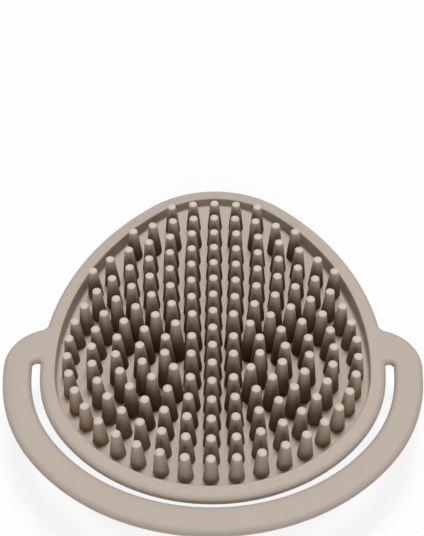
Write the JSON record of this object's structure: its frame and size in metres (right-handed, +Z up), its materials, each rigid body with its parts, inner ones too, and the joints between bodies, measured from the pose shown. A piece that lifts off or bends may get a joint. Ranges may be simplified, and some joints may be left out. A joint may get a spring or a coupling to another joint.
{
  "type": "bath brush",
  "caption": "Egg-shaped soft silicone bath brush with a field of tapered bristles in a raised rim and a hand strap that folds to its domed back.",
  "frame": {"origin": "centre of the flat of the back, on the surface it lies on, under the middle of the footprint", "axes": "+X to the right, +Y towards the narrow end, +Z up out of the back, the way the bristles point"},
  "size_m": [0.1062, 0.1124, 0.0237],
  "materials": {
    "body": "matte",
    "strap": "matte",
    "bristles": "matte"
  },
  "bodies": {
    "brush": {"back_shell": "body", "rim_band": "body", "strap_ear_left": "strap", "strap_ear_right": "strap", "strap_neck_left": "strap", "strap_neck_right": "strap", "bristle_centre": "bristles", "bristle_ring_1": "bristles", "bristle_ring_2": "bristles", "bristle_ring_3": "bristles", "bristle_ring_4": "bristles", "bristle_ring_5": "bristles", "bristle_ring_6": "bristles", "bristle_row_7": "bristles", "bristle_row_8": "bristles", "bristle_row_9": "bristles"},
    "strap": {"hand_strap": "strap"}
  },
  "joints": [
    {"name": "strap_fold", "type": "hinge", "parent": "brush", "child": "strap", "pos_m": [0, -0.0132, 0.0165], "axis": [1, 0, 0], "range_deg": [0, 95], "stiffness_Nm_per_rad": 0.05, "deforming": ["strap_neck_left", "strap_neck_right"]}
  ]
}
